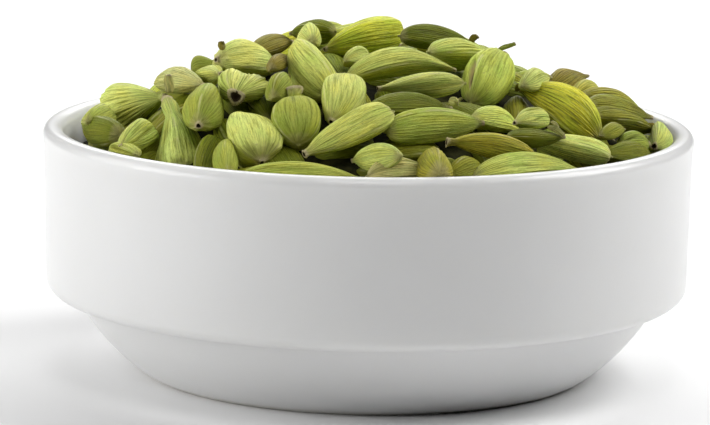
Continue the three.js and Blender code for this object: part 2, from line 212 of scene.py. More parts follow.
# %% The front of the heap
# Each row is one pod: across and up from the rim's centre to its nearer end, the same to its
# other end, its girth, and its true length if it points to the front. Then come its kind,
# its colour, the end that has the stalk's stub, how far it bulges upwards, and its turn.
# A pod's colour was set for how light or dark it looks where it lies: partly its own colour,
# partly painted light and shade.
PLACED = [
    (-46.5, -2.5, -52.5, -1, 5.6, 12, "plump", "deep", 1, 0, 40),
    (-52, 1, -47.5, 2, 4.8, 15, "lean", "bright", 1, 0.2, 0),
    (-47.5, 1.5, -37.5, 5, 7.4, 17, "fan", "light", 0, 0.3, 100),
    (-46, -3.5, -40.5, -0.5, 4.8, 12, "shrivelled", "pale", 0, 0.5, 0),
    (-48, -5.5, -43, -6, 3.6, None, "shrivelled", "pale", 0, 0.2, 60),
    (-32, -7, -37.5, 4.5, 7.4, 18, "stalked", "light", 1, 0.4, 30),
    (-39.5, 8, -31, 7.5, 4.8, None, "blunt", "tan", 1, 0.5, 20),
    (-31.5, 0.5, -30, 5.5, 7.4, 13, "plump", "green", 0, 0, 10),
    (-26.5, 8, -31, 6.5, 4.6, 12, "lean", "light", 0, 0.3, 50),
    (-33, 9, -28, 11, 4.6, None, "lean", "green", 1, 0.2, 0),
    (-28.5, 5.5, -18.5, 6.5, 5.6, None, "shrivelled", "light", 0, 0.3, 90),
    (-19.5, -6.5, -25, 2, 8.4, 15, "shield", "pale", 0, 0, 60),
    (-26, -8.5, -27, -3.5, 4.8, 13, "plump", "green", 0, 0, 0),
    (-24, -9, -3, -9.5, 5.2, None, "ribbed", "bright", 1, 0.4, 15),
    (-28.5, 12.5, -18.5, 11.5, 6.1, 13, "smooth", "light", 0, 0.4, 0),
    (-21.5, 13.5, -14.5, 16, 4.8, 14, "ribbed", "brown", 1, 0.3, 30),
    (-15, 17, -6.5, 17.5, 4.8, None, "ribbed", "deep", 0, 0.4, 70),
    (-11, 15.5, -11.5, 17.5, 4.4, 10, "necked", "light", 1, 0, 0),
    (-8.5, 14.5, 5.5, 18, 6.5, 17, "blunt", "golden", 0, 0.6, 50),
    (-7.5, 5.5, -14, 15, 7.8, 16, "plump", "pale", 1, -0.2, 20),
    (-7, 0.5, -3.5, 8.5, 7.6, 14, "plump", "pale", 0, 0, 80),
    (-18, 5, -15, 9, 4.8, 12, "lean", "green", 1, 0.2, 0),
    (-19, 9.5, -15, 12, 4.8, 13, "ribbed", "brown", 1, 0.3, 0),
    (-13, -3.5, -14, 5, 8.8, 13, "necked", "green", 1, 0, 70),
    (-12, -5.5, 4, 2.5, 6.3, 18, "blunt", "pale", 0, 0.3, 0),
    (6, -5.5, -3, -6.5, 4.8, 13, "lean", "light", 1, 0.2, 40),
    (0, -9.5, 13.5, -8.5, 5, None, "shrivelled", "tan", 1, 0.5, 10),
    (12.5, -7, 9.5, -5.5, 6.3, 14, "blunt", "khaki", 1, 0, 0),
    (4, -0.5, 21, 1, 6.5, None, "blunt", "bright", 1, 0.5, 90),
    (-1, 3, 15.5, 3.5, 4.8, None, "lean", "deep", 1, 0.4, 10),
    (1.5, 7, 17.5, 8.5, 5, None, "lean", "light", 0, 0.4, 60),
    (-4.5, 9.5, 16, 11.5, 5.2, None, "lean", "pale", 1, 2.2, 30),
    (-4.5, 11.5, 0.5, 13, 4.6, 13, "lean", "light", 1, 0.2, 0),
    (5.5, 16.5, 19.5, 15.5, 4.8, None, "ribbed", "deep", 1, 0.2, 0),
    (11, 14, 23, 13, 5.9, 15, "lean", "pale", 1, 0.3, 40),
    (19, 4.5, 25, 14, 8, 15, "split", "bright", 1, 0, 0),
    (15, -9, 21.5, -7.5, 4.8, 12, "lean", "olive", 1, 0, 0),
    (20, -8.5, 39, -7.5, 5.4, None, "lean", "pale", 1, 0.9, 20),
    (14.5, -2.5, 31, -5, 4.8, None, "ribbed", "khaki", 0, 0.7, 50),
    (29.5, -2, 45, -5, 4.8, None, "blunt", "light", 0, 0.5, 80),
    (43, -4.5, 52.5, -5, 4.6, None, "lean", "deep", 0, 0.3, 0),
    (53, -3, 55.5, -0.5, 4.8, 12, "lean", "light", 0, 0, 0),
    (46.5, -3, 52, -2.5, 4.6, None, "shrivelled", "green", 1, 0.2, 0),
    (43, -1.5, 47.5, -0.5, 4.5, 12, "lean", "olive", 1, 0, 0),
    (40, 4.5, 52.5, 2.5, 4.8, None, "ribbed", "olive", 1, 0.5, 0),
    (41.5, 2.5, 53, 0, 4.8, None, "ribbed", "olive", 1, 0.5, 40),
    (39.5, 6, 50, 4, 4.5, None, "ribbed", "khaki", 1, 0.4, 90),
    (38, 6, 42.5, 7.5, 4.6, 12, "lean", "yellowish", 1, 0.2, 0),
    (33, 7.5, 40.5, 10, 4.8, 13, "ribbed", "brown", 1, 0.3, 20),
    (28, 8.5, 34, 10, 4.8, 12, "lean", "light", 1, 0.2, 0),
    (28, 7.5, 42.5, -0.5, 7.1, None, "ribbed", "golden", 0, 1.4, 10),
    (27, 1, 33, 2, 4, 10, "shrivelled", "light", 0, 0.2, 0),
    (25.5, -2, 36.5, -1.5, 3.6, None, "lean", "deep", 1, 0.1, 40),
    (18.5, 2.5, 27.5, -0.5, 4.8, 14, "lean", "pale", 1, 0.3, 0),
]

# %% Sight lines, and the surface that the pods make
MOUND_RADIUS = 56
MOUND_EDGE = 47
MOUND_RISE = 18.6
MOUND_POWER = 1.1
SIGHT_TILT = math.radians(10.5)
SIGHT_DISTANCE = 750
SIGHT_HEIGHT = 24
RIM_IN_VIEW = 21.2
SIGHT_STEP = 0.5
HALVINGS = 40
SEEN_BACK = 25
SKYLINE_BACK = 4
PLACED_SINK = 0.5
EYE = (
    0.0,
    -SIGHT_DISTANCE * math.cos(SIGHT_TILT),
    SIGHT_HEIGHT + SIGHT_DISTANCE * math.sin(SIGHT_TILT),
)


def dot(a, b):
    return a[0] * b[0] + a[1] * b[1] + a[2] * b[2]


def less(a, b):
    return [a[0] - b[0], a[1] - b[1], a[2] - b[2]]


def moved(place, way, share):
    return [place[0] + way[0] * share, place[1] + way[1] * share, place[2] + way[2] * share]


def size(way):
    return math.sqrt(dot(way, way))


def mound_height(x, y):
    share = min(1, (x * x + y * y) / MOUND_RADIUS**2)
    return MOUND_EDGE + MOUND_RISE * (1 - share) ** MOUND_POWER


def sight_line(across, up):
    seen = up + RIM_IN_VIEW
    place = (across, seen * math.sin(SIGHT_TILT), SIGHT_HEIGHT + seen * math.cos(SIGHT_TILT))
    way = less(place, EYE)
    return [c / size(way) for c in way]


def on_line(line, y):
    return moved(EYE, line, (y - EYE[1]) / line[1])


def landing(line, sink):
    best_above, best_y = math.inf, 0
    y = -MOUND_RADIUS
    while y < SEEN_BACK:
        p = on_line(line, y)
        above = p[2] - (mound_height(p[0], p[1]) - sink)
        if above < best_above:
            best_above, best_y = above, y
        if above <= 0 and math.hypot(p[0], p[1]) < MOUND_RADIUS:
            return y
        y += SIGHT_STEP
    return min(best_y, SKYLINE_BACK)


def placed_pod(row):
    x1, z1, x2, z2, girth, length = row[:6]
    lines = [sight_line(x1, z1), sight_line(x2, z2)]
    sink = girth * PLACED_SINK
    if length is None:
        ends = [on_line(line, landing(line, sink)) for line in lines]
    else:
        middle = landing(sight_line((x1 + x2) / 2, (z1 + z2) / 2), sink)
        low, high = 0.0, length
        for _ in range(HALVINGS):
            depth = (low + high) / 2
            near = on_line(lines[0], middle - depth / 2)
            far = on_line(lines[1], middle + depth / 2)
            if size(less(near, far)) < length:
                low = depth
            else:
                high = depth
        ends = [on_line(lines[0], middle - low / 2), on_line(lines[1], middle + low / 2)]
    starts = [list(end) for end in ends]
    return {"ends": ends, "girth": girth, "lines": lines, "starts": starts}


# %% Two pods as near neighbours
POD_TAPER = 0.62
POD_TAPER_POWER = 2.4
PARALLEL = 1e-9


def clamp(value):
    return min(1, max(0, value))


def nearest(p, q):
    """The nearest points of two pods' axes, as shares of their lengths, and the way between."""
    d1 = less(p["ends"][1], p["ends"][0])
    d2 = less(q["ends"][1], q["ends"][0])
    r = less(p["ends"][0], q["ends"][0])
    a, e, f, c, b = dot(d1, d1), dot(d2, d2), dot(d2, r), dot(d1, r), dot(d1, d2)
    spread = a * e - b * b
    s = clamp((b * f - c * e) / spread) if spread > PARALLEL else 0.5
    t = (b * s + f) / e
    if t < 0:
        s, t = clamp(-c / a), 0
    elif t > 1:
        s, t = clamp((b - c) / a), 1
    apart = moved(moved(r, d1, s), d2, -t)
    return s, t, apart, size(apart)


def fullness(share):
    return 1 - POD_TAPER * abs(2 * share - 1) ** POD_TAPER_POWER


def room(p, q, s, t):
    return (p["girth"] * fullness(s) + q["girth"] * fullness(t)) / 2


# %% Strewing the rest
POD_LENGTHS = (13.5, 19.5)
POD_GIRTHS = (5.6, 8.2)
SHORTEST_POD = 8
STREW_SINK = 0.42
STREW_RADIUS = 53.5
STREW_TILT = 2
STREW_MARGIN = 0.46
STREW_HALF = 0.465
WALL_REACH = 55.6
# How much nearer to the middle the wall keeps a pod, for each millimetre that it lies deeper.
WALL_SLOPE = 0.15
DRAW_FACTOR = 1664525
DRAW_STEP = 1013904223
DRAW_RANGE = 2**32


def seeded_draw(seed):
    """Numbers from 0 to 1 by the rule that the solid's source uses, so both strew alike."""
    state = seed
    while True:
        state = (state * DRAW_FACTOR + DRAW_STEP) % DRAW_RANGE
        yield state / DRAW_RANGE


def strewn_pod(draw, depth):
    """One pod thrown on the heap, this much under its surface."""
    radius = STREW_RADIUS * math.sqrt(next(draw))
    around = 2 * math.pi * next(draw)
    length = POD_LENGTHS[0] + (POD_LENGTHS[1] - POD_LENGTHS[0]) * next(draw)
    girth = POD_GIRTHS[0] + (POD_GIRTHS[1] - POD_GIRTHS[0]) * next(draw)
    heading = 2 * math.pi * next(draw)
    tilt = STREW_TILT * (next(draw) - 0.5)
    x, y = radius * math.cos(around), radius * math.sin(around)
    limit = WALL_REACH - girth * STREW_MARGIN - depth * WALL_SLOPE
    ends = []
    for side in (-1, 1):
        ex = x + side * math.cos(heading) * length * STREW_HALF
        ey = y + side * math.sin(heading) * length * STREW_HALF
        er = math.hypot(ex, ey)
        if er > limit:
            ex *= limit / er
            ey *= limit / er
        level = mound_height(ex, ey) - girth * STREW_SINK - depth
        ends.append([ex, ey, level + side * tilt])
    return {"ends": ends, "girth": girth, "length": size(less(*ends)), "y": y, "depth": depth}


def fits(pod, others, closeness, placed_closeness):
    for other in others:
        s, t, _, distance = nearest(pod, other)
        share = placed_closeness if "lines" in other else closeness
        if distance < room(pod, other, s, t) * share:
            return False
    return True


def strew(pods, above, depth, seed, tries, closeness, placed_closeness, foremost):
    """Adds to a layer what fits into it and under the layers above it."""
    draw = seeded_draw(seed)
    for _ in range(tries):
        pod = strewn_pod(draw, depth)
        if pod["length"] < SHORTEST_POD or pod["y"] < foremost:
            continue
        if fits(pod, above + pods, closeness, placed_closeness):
            pods.append(pod)


# %% Settling
SETTLE_REACH = 21
SETTLE_SINK = 0.02
SETTLE_SLACK = 0.96
SETTLE_LOWEST = 2.5
PLACED_YIELD = 0.35
PLACED_TRAVEL = 9
PLACED_RETURN = 0.995
SETTLE_MARGIN = 0.31
TOUCHING = 1e-4


def part(p, q, yield_p, yield_q):
    """Two pods that press into each other move apart, each end by its share."""
    (pa, pb), (qa, qb) = p["ends"], q["ends"]
    twice_across = pa[0] + pb[0] - qa[0] - qb[0]
    twice_back = pa[1] + pb[1] - qa[1] - qb[1]
    if math.hypot(twice_across, twice_back) > 2 * SETTLE_REACH:
        return
    s, t, apart, distance = nearest(p, q)
    wanted = SETTLE_SLACK * room(p, q, s, t)
    if distance >= wanted or distance < TOUCHING:
        return
    shares = yield_p * ((1 - s) ** 2 + s * s) + yield_q * ((1 - t) ** 2 + t * t)
    push = (wanted - distance) / 2 / shares / distance
    p["ends"][0] = moved(pa, apart, push * (1 - s) * yield_p)
    p["ends"][1] = moved(pb, apart, push * s * yield_p)
    q["ends"][0] = moved(qa, apart, -push * (1 - t) * yield_q)
    q["ends"][1] = moved(qb, apart, -push * t * yield_q)


def keep_in_view(pod):
    for i, (start, line) in enumerate(zip(pod["starts"], pod["lines"])):
        way = dot(less(pod["ends"][i], start), line)
        kept = max(-PLACED_TRAVEL, min(PLACED_TRAVEL, way)) * PLACED_RETURN
        pod["ends"][i] = moved(start, line, kept)


def sink_pod(pod):
    a, b = pod["ends"]
    a[2] -= SETTLE_SINK
    b[2] -= SETTLE_SINK
    way = less(b, a)
    now = size(way)
    error = (now - pod["length"]) / 2 / now
    pod["ends"] = [moved(a, way, error), moved(b, way, -error)]


def keep_in_bowl(pod):
    depth = pod.get("depth", 0)
    limit = WALL_REACH - pod["girth"] * SETTLE_MARGIN - depth * WALL_SLOPE
    for end in pod["ends"]:
        r = math.hypot(end[0], end[1])
        if r > limit:
            end[0] *= limit / r
            end[1] *= limit / r
        if "lines" not in pod:
            level = mound_height(end[0], end[1]) - pod["girth"] / 2 - depth
            end[2] = max(level - SETTLE_LOWEST, min(level, end[2]))


def give_way(pod):
    return PLACED_YIELD if "lines" in pod else 1


def settle(pods, above, steps):
    """Lets a layer sink and push itself apart, while the layers above it stay put."""
    for _ in range(steps):
        for i, p in enumerate(pods):
            for q in above:
                part(p, q, 1, 0)
            for q in pods[i + 1 :]:
                part(p, q, give_way(p), give_way(q))
        for pod in pods:
            if "lines" in pod:
                keep_in_view(pod)
            else:
                sink_pod(pod)
            keep_in_bowl(pod)


# %% [markdown]
# ## Layer by layer
#
# Between the pods of the top layer one looks down on others. So two more layers are strewn in
# the same way, each deeper than the last and only where there is room. They settle against
# what lies above, which stays where it is. Only the top layer has placed pods.

# %% The three layers
# Each row is a layer: its depth, its draw's seed and number of tries, how close its pods may
# lie to strewn and to placed ones, how far to the front they may lie, and its settling steps.
LAYERS = (
    (0, 7, 3000, 0.55, 0.80, -12, 60),
    (4.4, 19, 2600, 0.60, 0.60, -math.inf, 16),
    (6.2, 23, 2600, 0.50, 0.50, -math.inf, 16),
)

heap = []
for depth, *strewing, steps in LAYERS:
    above = sum(heap, [])
    layer = [] if heap else [placed_pod(row) for row in PLACED]
    strew(layer, above, depth, *strewing)
    settle(layer, above, steps)
    heap.append(layer)
    print("layer", depth, "mm down:", len(layer), "pods")
top_layer, buried = heap[0], heap[1] + heap[2]

# %% [markdown]
# ## Pods that lie a little otherwise
#
# Pushing each other apart has moved the front pods along their sight lines only, but their
# girths and ends were rough guesses. Seen beside the photograph, some are corrected here by a
# millimetre or a few, and pods that would hide another one are nudged back or down.

# %% Corrected and nudged pods
# By a pod's number in the top layer: better first six values for its row in PLACED, and how
# far it goes to the right, to the back and up.
CORRECTED = {
    1: (-52, 0, -47.5, 1.2, 4.6, 15),
    2: (-37.6, 4.7, -46.8, 1.4, 10.2, 14),
    3: (-46, -4.6, -40.5, -1.8, 5.4, 12),
    5: (-34, -10.6, -37.6, 4.6, 10, 18),
    6: (-39, 7.6, -30.6, 7.1, 5, None),
    7: (-31.6, -0.6, -30, 5.3, 7.5, 13),
    8: (-27.5, 9.2, -32, 7.4, 4.6, 12),
    10: (-24.8, 5, -23.4, 7.8, 7.6, 9),
    11: (-19.7, -7.3, -24.4, 1.6, 9.4, 15),
    12: (-25.8, -9.8, -26.8, -4, 4.6, 12),
    13: (-24, -9.8, 0, -10.3, 5, None),
    14: (-28.6, 11.9, -18.2, 10.9, 6.8, 13),
    15: (-21.8, 13.6, -14.5, 15.8, 4.2, 14),
    18: (-8.6, 14.2, 5.6, 18, 7.8, 17),
    22: (-18.6, 10.2, -15, 12.6, 3.2, 13),
    23: (-13, -3.9, -13.9, 6.2, 8.8, 13),
    27: (13.4, -8.8, 10.4, -5.6, 6.2, 14),
    28: (3.4, -0.8, 21.4, 1, 6, None),
    30: (1.5, 7, 17.5, 8.3, 4.4, None),
    31: (-4.5, 9.6, 16, 11.4, 5.2, None),
    32: (-4.6, 12.6, 0, 13.4, 3.4, 9),
    33: (5.5, 16.8, 19.2, 15.6, 4.3, None),
    35: (18.6, 4.4, 25.2, 13.8, 9.2, 15),
    37: (19.2, -8.7, 39.8, -7.5, 5.6, None),
    43: (43, -0.9, 47.5, 0.1, 3, 10),
    49: (28, 8, 33.6, 9.6, 4.2, 12),
    50: (28, 7.9, 43, -1.2, 8, None),
}
NUDGED = {
    15: (0, 8, -1.5), 32: (0, 9, -1.7), 53: (1, 7, -1.3), 54: (0, 3, -4),
    56: (0, 0, -3), 57: (0, 2, -2.5), 62: (0, 2, -1.5), 63: (0, 3, -2.5),
    68: (0, 0, -2.5), 71: (0, 0, -3), 72: (0, 0, -3), 73: (0, 3, -4),
    83: (0, 2, -2.5), 85: (0, 2, -1.5), 86: (0, 4, -3), 88: (0, 0, -1.5),
    90: (0, 15, -8), 92: (0, 0, -2.5), 93: (0, 3, -2), 94: (0, 0, -2.5),
    96: (0, 8, -5), 97: (0, 0, -2), 98: (2, 8, -4),
}


def slid(pod):
    """How far a placed pod has moved along its sight lines."""
    ways = zip(pod["ends"], pod["starts"], pod["lines"])
    return sum(dot(less(end, start), line) for end, start, line in ways) / 2


def as_seen(number, pod):
    if number in CORRECTED:
        way = slid(pod)
        pod = placed_pod(CORRECTED[number])
        pod["ends"] = [moved(end, line, way) for end, line in zip(pod["ends"], pod["lines"])]
    if number in NUDGED:
        pod = {**pod, "ends": [moved(end, NUDGED[number], 1) for end in pod["ends"]]}
    return pod


seen = [as_seen(number, pod) for number, pod in enumerate(top_layer)]
print("corrected:", len(CORRECTED), "pods; nudged:", len(NUDGED))

# %% [markdown]
# ## One pod of each kind
#
# A dried cardamom pod is a papery capsule with three rounded sides and fine lengthwise ribs.
# One end has the stub of its stalk, a short tube that is hollow, and the other ends in a dry
# tip. A stretched sphere would have neither, so each kind is grown ring by ring like the
# bowl. Then its ribs are made: the lines of points between them are drawn in towards the
# axis. These blanks are one unit long and one unit in half girth, and each is made in three
# finenesses, for the front, the back and the layers below.

# %% Shape of the kinds
# Stub's half width, end of the neck, how slowly the pod widens from the stub and from the
# tip, depth of the ribs, their unevenness, how far the three ridges stand out, and the depth
# of creases and of folds.
KINDS = {
    "ribbed": (0.22, 0.05, 0.80, 0.50, 0.080, 0.5, 0.12, 0.012, 0.05),
    "blunt": (0.20, 0.04, 0.70, 0.38, 0.060, 0.6, 0.12, 0.014, 0.05),
    "fan": (0.20, 0.04, 1.00, 0.17, 0.060, 0.5, 0.06, 0.014, 0.04),
    "lean": (0.20, 0.04, 0.90, 0.62, 0.048, 0.6, 0.15, 0.014, 0.07),
    "plump": (0.20, 0.03, 0.52, 0.36, 0.026, 0.8, 0.10, 0.018, 0.07),
    "smooth": (0.18, 0.05, 0.34, 0.34, 0.012, 0.7, 0.15, 0.014, 0.07),
    "shield": (0.18, 0.03, 0.36, 0.66, 0.012, 0.7, 0.18, 0.014, 0.08),
    "necked": (0.26, 0.32, 0.42, 0.45, 0.020, 0.8, 0.10, 0.014, 0.06),
    "stalked": (0.28, 0.22, 0.80, 0.16, 0.055, 0.6, 0.14, 0.014, 0.08),
    "shrivelled": (0.24, 0.05, 0.70, 0.50, 0.110, 0.9, 0.12, 0.040, 0.18),
    "split": (0.14, 0.04, 0.60, 0.55, 0.020, 0.7, 0.10, 0.014, 0.06),
    "twig": (0.80, 0.30, 0.20, 0.30, 0.120, 0.9, 0.10, 0.060, 0.10),
}
# Points round a pod and rings along it.
FINENESS = {"front": (120, 26), "back": (90, 20), "buried": (24, 11)}
HOLLOW = 0.46
HOLLOW_DEPTH = 0.045
# The stub's mouth from inside to outside: shares of the stub's half width, and heights.
MOUTH = (
    (HOLLOW / 2, HOLLOW_DEPTH),
    (HOLLOW, HOLLOW_DEPTH * 0.7),
    (HOLLOW * 1.06, 0.006),
    (0.86, 0.0),
    (1.2, 0.004),
    (1.0, 0.020),
)
FIRST_RING = 0.03
NECK_SLIM = 0.6
NECK_FADE = 1.7
SHORTEST_NECK = 0.08
TIP = 0.10
TIP_FROM = 2 / 3
NUB_END = 1.035
NUB = ((0.95, (1 + NUB_END) / 2), (0.4, NUB_END))
BLEND = 4


def pod_outline(kind, rings, with_stub):
    """Half widths and heights of a pod of unit length, from its stub to its tip."""
    stub, neck, from_stub, from_tip = KINDS[kind][:4]
    points = [(stub * wide, high) for wide, high in (MOUTH if with_stub else ((1, 0),))]
    fattest = from_stub / (from_stub + from_tip)
    for i in range(1, rings + 1):
        s = FIRST_RING + (1 - FIRST_RING) * (1 - math.cos(math.pi * i / rings)) / 2
        t = clamp((s - neck * NECK_SLIM) / (1 - neck * NECK_SLIM))
        body = (t / fattest) ** from_stub * ((1 - t) / (1 - fattest)) ** from_tip
        stalk = stub * clamp(NECK_FADE - s / max(neck, SHORTEST_NECK))
        tip = TIP * clamp((s - TIP_FROM) / (1 - TIP_FROM))
        r = (body**BLEND + stalk**BLEND + tip**BLEND) ** (1 / BLEND)
        points.append((max(r, TIP / 2), s))
    return points + [(TIP * wide, high) for wide, high in NUB]


# %% Ribs and ridges of the blanks
RIBS = 30
RIB_SHARPNESS = 1.4
NO_RIBS_LEVEL = 0.3
# Rib depth at which the painted shade in the grooves is at full strength.
FULL_CONTRAST = 0.08
LOBE = 0.5
RIDGE = 1.1
RIDGE_SHARPNESS = 1.2
LOBE_LEVEL = 0.4
KIND_SEED = 3
KIND_SEED_STEP = 7
AXIS_WIDTH = 0.01
MOUTH_WIDTH = 0.75
MOUTH_MARGIN = 1.02
STUB_MARK = 0.035
STUB_MARK_FADE = 1.5
# A mark above 1.2 paints the husk near black: painted shade in the stub's hollow.
HOLLOW_PART = 2.0


def rib_pattern(kind, sides, rng):
    """How far each line of points stands from the axis, and the strength of the painted shade
    in its groove.
    """
    depth, unevenness, lobes = KINDS[kind][4:7]
    turn = 2 * math.pi * np.arange(sides) / sides
    groove = (0.5 - 0.5 * np.cos(RIBS * turn)) ** RIB_SHARPNESS
    uneven = rng.uniform(1 - unevenness, 1, RIBS)
    strength = uneven[(np.arange(sides) * RIBS // sides) % RIBS]
    if sides < 2 * RIBS:
        groove[:] = NO_RIBS_LEVEL
    ridge = (1 - np.abs(np.sin(1.5 * turn))) ** RIDGE_SHARPNESS
    reach = 1 + lobes * (LOBE * np.cos(3 * turn) + RIDGE * ridge - LOBE_LEVEL)
    reach -= depth * groove * strength
    return reach, strength * min(1, depth / FULL_CONTRAST)


def pod_blank(kind, fineness):
    sides, rings = FINENESS[fineness]
    outline = pod_outline(kind, rings, fineness != "buried")
    blank = grow("blank_" + kind, outline, sides, 1)
    rng = np.random.default_rng(KIND_SEED + KIND_SEED_STEP * len(kind))
    reach, groove_shade = rib_pattern(kind, sides, rng)
    co = places(blank)
    turn = np.arctan2(co[:, 1], co[:, 0]) / (2 * math.pi)
    column = np.round(turn * sides).astype(int) % sides
    off_axis = np.hypot(co[:, 0], co[:, 1]) > AXIS_WIDTH
    bpy.ops.object.mode_set(mode="EDIT")
    for k in range(sides):
        pick(blank, np.flatnonzero(off_axis & (column == k)))
        drawn = (float(reach[k]), float(reach[k]), 1)
        bpy.ops.transform.resize(value=drawn, center_override=(0, 0, 0))
    bpy.ops.object.mode_set(mode="OBJECT")
    return blank_arrays(blank, groove_shade[column], KINDS[kind][0])


def blank_arrays(blank, groove_shade, stub):
    """Keeps a blank as arrays and removes its object."""
    co = places(blank)
    faces = blank.data
    corners = np.empty(len(faces.loops), dtype=np.int32)
    faces.loops.foreach_get("vertex_index", corners)
    totals = np.empty(len(faces.polygons), dtype=np.int32)
    faces.polygons.foreach_get("loop_total", totals)
    r = np.hypot(co[:, 0], co[:, 1])
    s = co[:, 2]
    in_hollow = (s < HOLLOW_DEPTH * MOUTH_MARGIN) & (r < stub * MOUTH_WIDTH)
    on_stub = np.clip(STUB_MARK_FADE - s / STUB_MARK, 0, 1)
    bpy.data.objects.remove(blank)
    return {
        "s": s,
        "turn": np.arctan2(co[:, 1], co[:, 0]),
        "r": r,
        "groove_shade": groove_shade,
        "part": np.where(in_hollow, HOLLOW_PART, on_stub),
        "corners": corners,
        "totals": totals,
    }


blanks = {}


def blank_of(kind, fineness):
    if (kind, fineness) not in blanks:
        blanks[kind, fineness] = pod_blank(kind, fineness)
    return blanks[kind, fineness]


# %% [markdown]
# ## From a blank to a pod in its place
#
# No two pods are alike. Each copy is stretched to its length and girth, wrinkled, dented,
# twisted and bent, and then laid along its own axis. An armature or a stack of modifiers
# could do it for a few. For two hundred it is plain arithmetic on the copy's points. Points
# also keep what the material needs later: the pod's own colour, the painted shade of its
# folds, its straight grain, how strong the painted shade in its rib grooves is, how dry it
# is, and where the stub and its hollow are.

# %% Wrinkles, dents and slits
CREASES = 7
CREASE_TURNS = 9
CREASE_HEIGHTS = (0.3, 1)
CREASE_CALMING = 0.2
# Each row: how many, how far they lean, their half widths in radians, where along the pod
# they lie, and their depths.
FOLDS = (5, 0.9, (0.09, 0.22), (0.25, 0.8), (0.3, 1))
DENTS = (3, 0, (0.5, 0.9), (0.2, 0.8), (0.02, 0.12))
HOLLOW_LENGTHS = (0.12, 0.3)
SLIT_TURN = 0.12
SLIT_START, SLIT_LONG = 0.50, 0.45
SLIT_HALF_WIDTH = 0.11
SLIT_STEEPNESS = 1.3
KNOB_HEIGHT = 0.09
STUB_KNOBS, STUB_KNOBS_LONG = 0.07, 0.04
TIP_KNOBS_LONG = 0.06


def around_from(turn, middle):
    """How far round the pod a point is from a line, in radians either way."""
    return np.angle(np.exp(1j * (turn - middle)))


def creases(s, turn, strength, rng):
    """Shallow waves all over."""
    total = np.zeros_like(s)
    for _ in range(CREASES):
        around = rng.integers(1, CREASE_TURNS)
        along = rng.uniform(-CREASE_TURNS, CREASE_TURNS)
        wave = np.sin(around * turn + along * s + rng.uniform(0, 2 * math.pi))
        total += wave * rng.uniform(*CREASE_HEIGHTS) / (1 + CREASE_CALMING * around)
    return strength * total * np.sin(math.pi * np.clip(s, 0, 1)) ** 0.5


def hollows(s, turn, rng, count, lean, widths, middles, depths):
    """Soft hollows that run along the pod and die out: narrow as folds, broad as dents."""
    total = np.zeros_like(s)
    for _ in range(count):
        middle = rng.uniform(0, 2 * math.pi)
        if lean:
            middle = middle + rng.uniform(-lean, lean) * (s - 0.5)
        across = around_from(turn, middle) / rng.uniform(*widths)
        along = (s - rng.uniform(*middles)) / rng.uniform(*HOLLOW_LENGTHS)
        total += rng.uniform(*depths) * np.exp(-(across**2) - along**2)
    return total


def slit(s, turn):
    """The gaping seam of a pod that has burst."""
    along = np.clip((s - SLIT_START) / SLIT_LONG, 0, 1)
    open_share = np.clip(SLIT_STEEPNESS * np.sin(math.pi * along), 0, 1)
    return np.exp(-((around_from(turn, SLIT_TURN) / SLIT_HALF_WIDTH) ** 2)) * open_share


def knobs(s, turn, rng):
    """Crumpled husk at both ends."""
    near = np.exp(-(((s - STUB_KNOBS) / STUB_KNOBS_LONG) ** 2))
    near += np.exp(-(((1 - s) / TIP_KNOBS_LONG) ** 2))
    wave = np.sin(5 * turn + 40 * s + rng.uniform(0, 6)) + np.sin(9 * turn - 60 * s)
    return KNOB_HEIGHT * wave * near


# %% The form of one pod's husk
# By a pod's number: how wide its stub flares, and how flat it is squashed.
RINGED = {8: 1.1, 10: 1.5, 17: 1.3, 23: 1.2, 24: 1.1, 30: 1.1, 38: 1.5, 41: 1.3}
SQUASHED = {10: -0.34}
STUB_WIDTHS = (0.5, 0.8)
STUB_LENGTH = 0.09
OVAL = 0.08
SLIT_DEPTH = 0.62
# The slit's mark rises above 1.2, which paints it near black: painted shade in the gap.
SLIT_PART = 2.4
# How much painted shade a fold gives the husk for its depth.
FURROW_SHADE = 6


def husk_form(blank, kind, number, rng):
    """How far each point stands out, what it is part of, and how open to light it lies."""
    s, turn = blank["s"], blank["turn"]
    crease_depth, fold_depth = KINDS[kind][7:]
    furrows = fold_depth * hollows(s, turn, rng, *FOLDS)
    form = 1 + rng.uniform(0.0, OVAL) * np.cos(2 * turn + rng.uniform(0, 6))
    form += creases(s, turn, crease_depth, rng) - furrows - hollows(s, turn, rng, *DENTS)
    form += knobs(s, turn, rng)
    wide_stub = RINGED.get(number, rng.uniform(*STUB_WIDTHS))
    form *= wide_stub + (1 - wide_stub) * np.clip(s / STUB_LENGTH, 0, 1)
    marks = blank["part"]
    if kind == "split":
        gape = slit(s, turn)
        form -= SLIT_DEPTH * gape
        marks = np.maximum(marks, SLIT_PART * gape)
    return form, marks, np.clip(1 - furrows * FURROW_SHADE, 0, 1)


# %% Laying a pod
COLOURS = {
    "green": (180, 192, 78),
    "bright": (212, 224, 102),
    "light": (240, 250, 140),
    "yellowish": (220, 216, 96),
    "golden": (244, 248, 84),
    "pale": (230, 240, 126),
    "deep": (138, 148, 36),
    "olive": (166, 170, 54),
    "khaki": (200, 196, 70),
    "brown": (166, 154, 54),
    "tan": (230, 226, 144),
}
DRYNESS = {"olive": 0.15, "khaki": 0.3, "brown": 0.6, "tan": 0.4, "golden": 0.2, "pale": 0.1}
LEAST_DRY = 0.05
LIGHTNESS = (0.88, 1.1)
TINT = (0.97, 1.03)
GLAZE_GAP = 0.25
NO_WALL = 1e3
END_ON = 0.2
TWIST = 0.7
SQUASH_FADE = 0.2
ARCH_LEVEL = 0.4
WARP = 0.25
SWAY = 0.4
GRAIN_LENGTH = 4
GRAIN_STEP = 7.3
POD_SEED = 1000


def linear(colour):
    """A colour of a picture, 0 to 255, as light."""
    shares = np.array(colour) / 255
    return np.where(shares <= 0.04045, shares / 12.92, ((shares + 0.055) / 1.055) ** 2.4)


